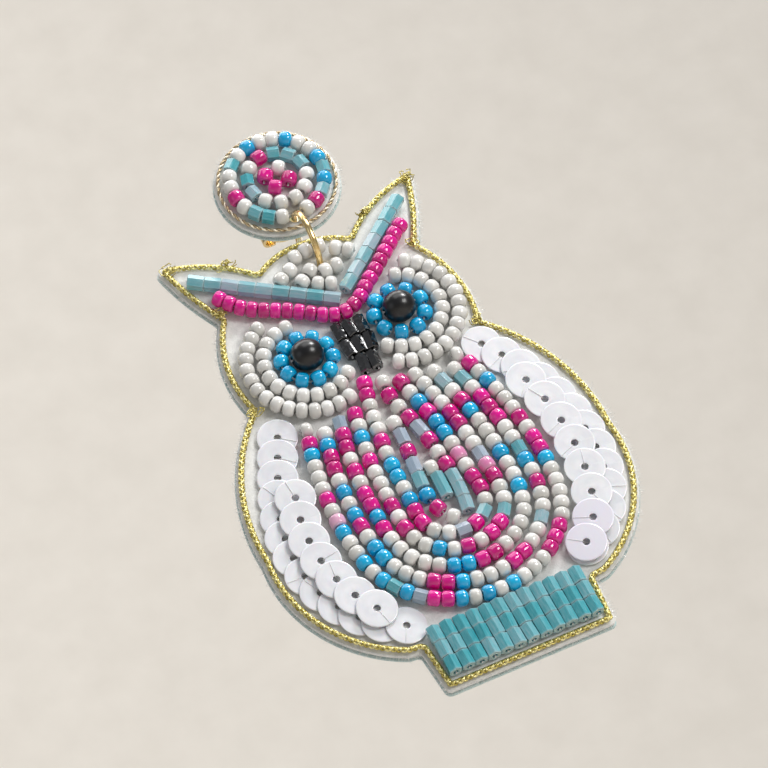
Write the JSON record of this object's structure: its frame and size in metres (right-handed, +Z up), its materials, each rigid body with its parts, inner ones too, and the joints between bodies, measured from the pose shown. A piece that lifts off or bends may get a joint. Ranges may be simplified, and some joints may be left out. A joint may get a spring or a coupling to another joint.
{
  "type": "beaded owl drop earring",
  "caption": "Bead-embroidered owl drop earring: round beaded stud on an ear post with a clutch, a jump ring, and a felt-backed owl in beads, tubes and sequins.",
  "frame": {"origin": "on the ear post's axis, at the back face of the stud", "axes": "as worn: +X to the viewer's right, +Z up, +Y from the beaded front towards the ear and the clutch"},
  "size_m": [0.047, 0.0168, 0.0827],
  "materials": {
    "backing_suede": "matt",
    "white_felt": "matt",
    "pale_gold_cord": "satin",
    "gold_cord": "satin",
    "white_pearl_glass": "gloss",
    "light_pink_glass": "gloss",
    "magenta_glass": "gloss",
    "turquoise_glass": "gloss",
    "aqua_cut_glass": "gloss",
    "grey_cut_glass": "gloss",
    "black_cut_glass": "gloss",
    "black_bead": "satin",
    "white_sequin": "satin",
    "post_metal": "gloss",
    "ring_gold": "gloss"
  },
  "bodies": {
    "stud": {"stud_backing": "backing_suede", "stud_felt": "white_felt", "ear_post": "post_metal", "stud_gold_cord": "pale_gold_cord", "stud_white_beads": "white_pearl_glass", "stud_pink_beads": "magenta_glass", "stud_turquoise_beads": "turquoise_glass", "stud_aqua_tubes": "aqua_cut_glass"},
    "ring": {"jump_ring": "ring_gold"},
    "drop": {"owl_backing": "backing_suede", "owl_felt": "white_felt", "owl_gold_cord": "gold_cord", "crown_white_beads": "white_pearl_glass", "left_brow_aqua_tubes": "aqua_cut_glass", "right_brow_aqua_tubes": "aqua_cut_glass", "brow_pink_beads": "magenta_glass", "left_pupil": "black_bead", "right_pupil": "black_bead", "left_eye_turquoise_beads": "turquoise_glass", "right_eye_turquoise_beads": "turquoise_glass", "left_eye_white_inner_row": "white_pearl_glass", "left_eye_white_outer_row": "white_pearl_glass", "right_eye_white_inner_row": "white_pearl_glass", "right_eye_white_outer_row": "white_pearl_glass", "beak_black_beads": "black_cut_glass", "belly_white_beads": "white_pearl_glass", "belly_pink_beads": "magenta_glass", "belly_light_pink_beads": "light_pink_glass", "belly_turquoise_beads": "turquoise_glass", "belly_aqua_tubes": "aqua_cut_glass", "belly_grey_tubes": "grey_cut_glass", "perch_tubes_top_row": "aqua_cut_glass", "perch_tubes_middle_row": "aqua_cut_glass", "perch_tubes_bottom_row": "aqua_cut_glass", "left_wing_outer_sequins": "white_sequin", "left_wing_inner_sequins": "white_sequin", "right_wing_outer_sequins": "white_sequin", "right_wing_inner_sequins": "white_sequin"},
    "clutch": {"butterfly_clutch": "post_metal"}
  },
  "joints": [
    {"name": "ring_sway", "type": "hinge", "parent": "stud", "child": "ring", "pos_m": [0, -0.00065, -0.0055], "axis": [0, 1, 0], "range_deg": [-10, 10]},
    {"name": "drop_swing", "type": "hinge", "parent": "ring", "child": "drop", "pos_m": [0, -0.00065, -0.0096], "axis": [1, 0, 0], "range_deg": [-30, 75]},
    {"name": "clutch_slide", "type": "slide", "parent": "stud", "child": "clutch", "axis": [0, 1, 0], "range_m": [-0.004, 0.016]}
  ]
}
